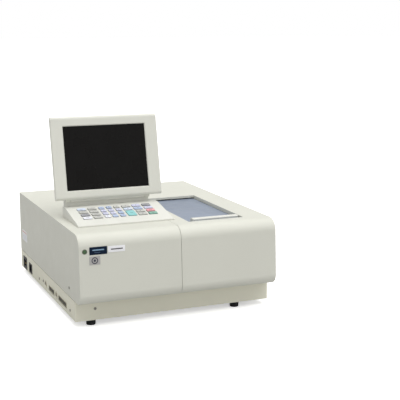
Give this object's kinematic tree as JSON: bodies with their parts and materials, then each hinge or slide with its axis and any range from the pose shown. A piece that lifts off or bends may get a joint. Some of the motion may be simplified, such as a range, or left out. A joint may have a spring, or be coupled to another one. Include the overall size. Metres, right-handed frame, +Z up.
{
  "type": "spectrophotometer",
  "caption": "Bench-top spectrophotometer: low cabinet with rounded front covers, fold-down flat display on a sloped keyboard, sliding sample lid and optical bench inside.",
  "frame": {"origin": "on the bench plane, under the middle of the cabinet", "axes": "+Z up, front with the keyboard and plates towards -Y, +X to the right of a person facing the front"},
  "size_m": [0.503, 0.61, 0.472],
  "materials": {
    "cover_paint": "fine satin texture",
    "chassis_paint": "satin powder coat",
    "foot_rubber": "matte",
    "screw_steel": "satin",
    "lamp_green": "clear gloss",
    "label_film": "printed film",
    "black_plastic": "satin",
    "port_metal": "plated",
    "lid_blue_grey": "satin",
    "keyboard_plastic": "fine satin texture",
    "display_plastic": "fine satin texture",
    "screen_dark": "anti-glare glass",
    "cast_alloy": "as cast",
    "black_anodised": "black anodised",
    "lamp_glass": "clear",
    "mirror_coat": "polished",
    "board_green": "solder mask",
    "supply_case": "plain sheet",
    "key_pale_blue": "satin",
    "key_grey": "satin",
    "key_dark_grey": "satin",
    "key_white": "satin",
    "key_blue": "satin",
    "key_lavender": "satin",
    "key_teal": "satin",
    "key_red": "satin",
    "key_green": "satin"
  },
  "bodies": {
    "cabinet": {"base_chassis": "chassis_paint", "case_screws": "screw_steel", "cell_holder": "black_anodised", "detectors": "cast_alloy", "fan_frame": "black_plastic", "fixed_mirrors": "mirror_coat", "hinge_pins": "screw_steel", "keyboard_housing": "keyboard_plastic", "label_plates": "label_film", "left_cover": "cover_paint", "main_board": "board_green", "optics_bench": "cast_alloy", "port_connectors": "port_metal", "power_inlet": "black_plastic", "power_lamp": "lamp_green", "power_supply": "supply_case", "power_switch": "black_plastic", "right_cover": "cover_paint", "rubber_feet": "foot_rubber", "source_lamps": "lamp_glass"},
    "display": {"display_bezel": "display_plastic", "display_back": "display_plastic", "lcd_panel": "screen_dark"},
    "lid": {"sample_lid": "lid_blue_grey"},
    "rocker": {"switch_rocker": "black_plastic"},
    "fan": {"fan_rotor": "black_plastic"},
    "grating": {"diffraction_grating": "mirror_coat"},
    "mirror": {"source_mirror": "mirror_coat"},
    "filters": {"filter_wheel": "black_anodised"},
    "key_0": {"key_0": "key_white"},
    "key_1": {"key_1": "key_lavender"},
    "key_2": {"key_2": "key_lavender"},
    "key_3": {"key_3": "key_blue"},
    "key_4": {"key_4": "key_lavender"},
    "key_5": {"key_5": "key_lavender"},
    "key_6": {"key_6": "key_lavender"},
    "key_7": {"key_7": "key_blue"},
    "key_8": {"key_8": "key_blue"},
    "key_9": {"key_9": "key_grey"},
    "key_back": {"key_back": "key_pale_blue"},
    "key_clear": {"key_clear": "key_grey"},
    "key_down": {"key_down": "key_blue"},
    "key_enter": {"key_enter": "key_teal"},
    "key_f1": {"key_f1": "key_pale_blue"},
    "key_f2": {"key_f2": "key_grey"},
    "key_f3": {"key_f3": "key_dark_grey"},
    "key_f4": {"key_f4": "key_white"},
    "key_f5": {"key_f5": "key_grey"},
    "key_f6": {"key_f6": "key_grey"},
    "key_f7": {"key_f7": "key_grey"},
    "key_f8": {"key_f8": "key_grey"},
    "key_feed": {"key_feed": "key_lavender"},
    "key_left": {"key_left": "key_grey"},
    "key_point": {"key_point": "key_blue"},
    "key_print": {"key_print": "key_dark_grey"},
    "key_right": {"key_right": "key_grey"},
    "key_sign": {"key_sign": "key_blue"},
    "key_start": {"key_start": "key_green"},
    "key_stop": {"key_stop": "key_red"},
    "key_up": {"key_up": "key_lavender"}
  },
  "joints": [
    {"name": "display_fold", "type": "hinge", "parent": "cabinet", "child": "display", "pos_m": [-0.113, -0.086, 0.272], "axis": [1, 0, 0], "range_deg": [-20, 102]},
    {"name": "lid_slide", "type": "slide", "parent": "cabinet", "child": "lid", "axis": [0, 1, 0], "range_m": [0, 0.215]},
    {"name": "switch_rock", "type": "hinge", "parent": "cabinet", "child": "rocker", "pos_m": [-0.242, 0.19, 0.0335], "axis": [0, 0, 1], "range_deg": [0, 20]},
    {"name": "grating_turn", "type": "hinge", "parent": "cabinet", "child": "grating", "pos_m": [-0.16, 0.17, 0.15], "axis": [0, 0, 1], "range_deg": [-35, 35]},
    {"name": "mirror_turn", "type": "hinge", "parent": "cabinet", "child": "mirror", "pos_m": [0.06, 0.17, 0.15], "axis": [0, 0, 1], "range_deg": [0, 90]},
    {"name": "filter_turn", "type": "hinge", "parent": "cabinet", "child": "filters", "pos_m": [-0.04, 0.1, 0.15], "axis": [0, 1, 0], "continuous": true},
    {"name": "fan_spin", "type": "hinge", "parent": "cabinet", "child": "fan", "pos_m": [0.15, 0.2885, 0.14], "axis": [0, 1, 0], "continuous": true},
    {"name": "key_0_press", "type": "slide", "parent": "cabinet", "child": "key_0", "axis": [0, 0.1959, -0.9806], "range_m": [0, 0.0015], "stiffness_N_per_m": 100, "springref_m": -0.003},
    {"name": "key_1_press", "type": "slide", "parent": "cabinet", "child": "key_1", "axis": [0, 0.1959, -0.9806], "range_m": [0, 0.0015], "stiffness_N_per_m": 100, "springref_m": -0.003},
    {"name": "key_2_press", "type": "slide", "parent": "cabinet", "child": "key_2", "axis": [0, 0.1959, -0.9806], "range_m": [0, 0.0015], "stiffness_N_per_m": 100, "springref_m": -0.003},
    {"name": "key_3_press", "type": "slide", "parent": "cabinet", "child": "key_3", "axis": [0, 0.1959, -0.9806], "range_m": [0, 0.0015], "stiffness_N_per_m": 100, "springref_m": -0.003},
    {"name": "key_4_press", "type": "slide", "parent": "cabinet", "child": "key_4", "axis": [0, 0.1959, -0.9806], "range_m": [0, 0.0015], "stiffness_N_per_m": 100, "springref_m": -0.003},
    {"name": "key_5_press", "type": "slide", "parent": "cabinet", "child": "key_5", "axis": [0, 0.1959, -0.9806], "range_m": [0, 0.0015], "stiffness_N_per_m": 100, "springref_m": -0.003},
    {"name": "key_6_press", "type": "slide", "parent": "cabinet", "child": "key_6", "axis": [0, 0.1959, -0.9806], "range_m": [0, 0.0015], "stiffness_N_per_m": 100, "springref_m": -0.003},
    {"name": "key_7_press", "type": "slide", "parent": "cabinet", "child": "key_7", "axis": [0, 0.1959, -0.9806], "range_m": [0, 0.0015], "stiffness_N_per_m": 100, "springref_m": -0.003},
    {"name": "key_8_press", "type": "slide", "parent": "cabinet", "child": "key_8", "axis": [0, 0.1959, -0.9806], "range_m": [0, 0.0015], "stiffness_N_per_m": 100, "springref_m": -0.003},
    {"name": "key_9_press", "type": "slide", "parent": "cabinet", "child": "key_9", "axis": [0, 0.1959, -0.9806], "range_m": [0, 0.0015], "stiffness_N_per_m": 100, "springref_m": -0.003},
    {"name": "key_back_press", "type": "slide", "parent": "cabinet", "child": "key_back", "axis": [0, 0.1959, -0.9806], "range_m": [0, 0.0015], "stiffness_N_per_m": 100, "springref_m": -0.003},
    {"name": "key_clear_press", "type": "slide", "parent": "cabinet", "child": "key_clear", "axis": [0, 0.1959, -0.9806], "range_m": [0, 0.0015], "stiffness_N_per_m": 100, "springref_m": -0.003},
    {"name": "key_down_press", "type": "slide", "parent": "cabinet", "child": "key_down", "axis": [0, 0.1959, -0.9806], "range_m": [0, 0.0015], "stiffness_N_per_m": 100, "springref_m": -0.003},
    {"name": "key_enter_press", "type": "slide", "parent": "cabinet", "child": "key_enter", "axis": [0, 0.1959, -0.9806], "range_m": [0, 0.0015], "stiffness_N_per_m": 100, "springref_m": -0.003},
    {"name": "key_f1_press", "type": "slide", "parent": "cabinet", "child": "key_f1", "axis": [0, 0.1959, -0.9806], "range_m": [0, 0.0015], "stiffness_N_per_m": 100, "springref_m": -0.003},
    {"name": "key_f2_press", "type": "slide", "parent": "cabinet", "child": "key_f2", "axis": [0, 0.1959, -0.9806], "range_m": [0, 0.0015], "stiffness_N_per_m": 100, "springref_m": -0.003},
    {"name": "key_f3_press", "type": "slide", "parent": "cabinet", "child": "key_f3", "axis": [0, 0.1959, -0.9806], "range_m": [0, 0.0015], "stiffness_N_per_m": 100, "springref_m": -0.003},
    {"name": "key_f4_press", "type": "slide", "parent": "cabinet", "child": "key_f4", "axis": [0, 0.1959, -0.9806], "range_m": [0, 0.0015], "stiffness_N_per_m": 100, "springref_m": -0.003},
    {"name": "key_f5_press", "type": "slide", "parent": "cabinet", "child": "key_f5", "axis": [0, 0.1959, -0.9806], "range_m": [0, 0.0015], "stiffness_N_per_m": 100, "springref_m": -0.003},
    {"name": "key_f6_press", "type": "slide", "parent": "cabinet", "child": "key_f6", "axis": [0, 0.1959, -0.9806], "range_m": [0, 0.0015], "stiffness_N_per_m": 100, "springref_m": -0.003},
    {"name": "key_f7_press", "type": "slide", "parent": "cabinet", "child": "key_f7", "axis": [0, 0.1959, -0.9806], "range_m": [0, 0.0015], "stiffness_N_per_m": 100, "springref_m": -0.003},
    {"name": "key_f8_press", "type": "slide", "parent": "cabinet", "child": "key_f8", "axis": [0, 0.1959, -0.9806], "range_m": [0, 0.0015], "stiffness_N_per_m": 100, "springref_m": -0.003},
    {"name": "key_feed_press", "type": "slide", "parent": "cabinet", "child": "key_feed", "axis": [0, 0.1959, -0.9806], "range_m": [0, 0.0015], "stiffness_N_per_m": 100, "springref_m": -0.003},
    {"name": "key_left_press", "type": "slide", "parent": "cabinet", "child": "key_left", "axis": [0, 0.1959, -0.9806], "range_m": [0, 0.0015], "stiffness_N_per_m": 100, "springref_m": -0.003},
    {"name": "key_point_press", "type": "slide", "parent": "cabinet", "child": "key_point", "axis": [0, 0.1959, -0.9806], "range_m": [0, 0.0015], "stiffness_N_per_m": 100, "springref_m": -0.003},
    {"name": "key_print_press", "type": "slide", "parent": "cabinet", "child": "key_print", "axis": [0, 0.1959, -0.9806], "range_m": [0, 0.0015], "stiffness_N_per_m": 100, "springref_m": -0.003},
    {"name": "key_right_press", "type": "slide", "parent": "cabinet", "child": "key_right", "axis": [0, 0.1959, -0.9806], "range_m": [0, 0.0015], "stiffness_N_per_m": 100, "springref_m": -0.003},
    {"name": "key_sign_press", "type": "slide", "parent": "cabinet", "child": "key_sign", "axis": [0, 0.1959, -0.9806], "range_m": [0, 0.0015], "stiffness_N_per_m": 100, "springref_m": -0.003},
    {"name": "key_start_press", "type": "slide", "parent": "cabinet", "child": "key_start", "axis": [0, 0.1959, -0.9806], "range_m": [0, 0.0015], "stiffness_N_per_m": 100, "springref_m": -0.003},
    {"name": "key_stop_press", "type": "slide", "parent": "cabinet", "child": "key_stop", "axis": [0, 0.1959, -0.9806], "range_m": [0, 0.0015], "stiffness_N_per_m": 100, "springref_m": -0.003},
    {"name": "key_up_press", "type": "slide", "parent": "cabinet", "child": "key_up", "axis": [0, 0.1959, -0.9806], "range_m": [0, 0.0015], "stiffness_N_per_m": 100, "springref_m": -0.003}
  ]
}
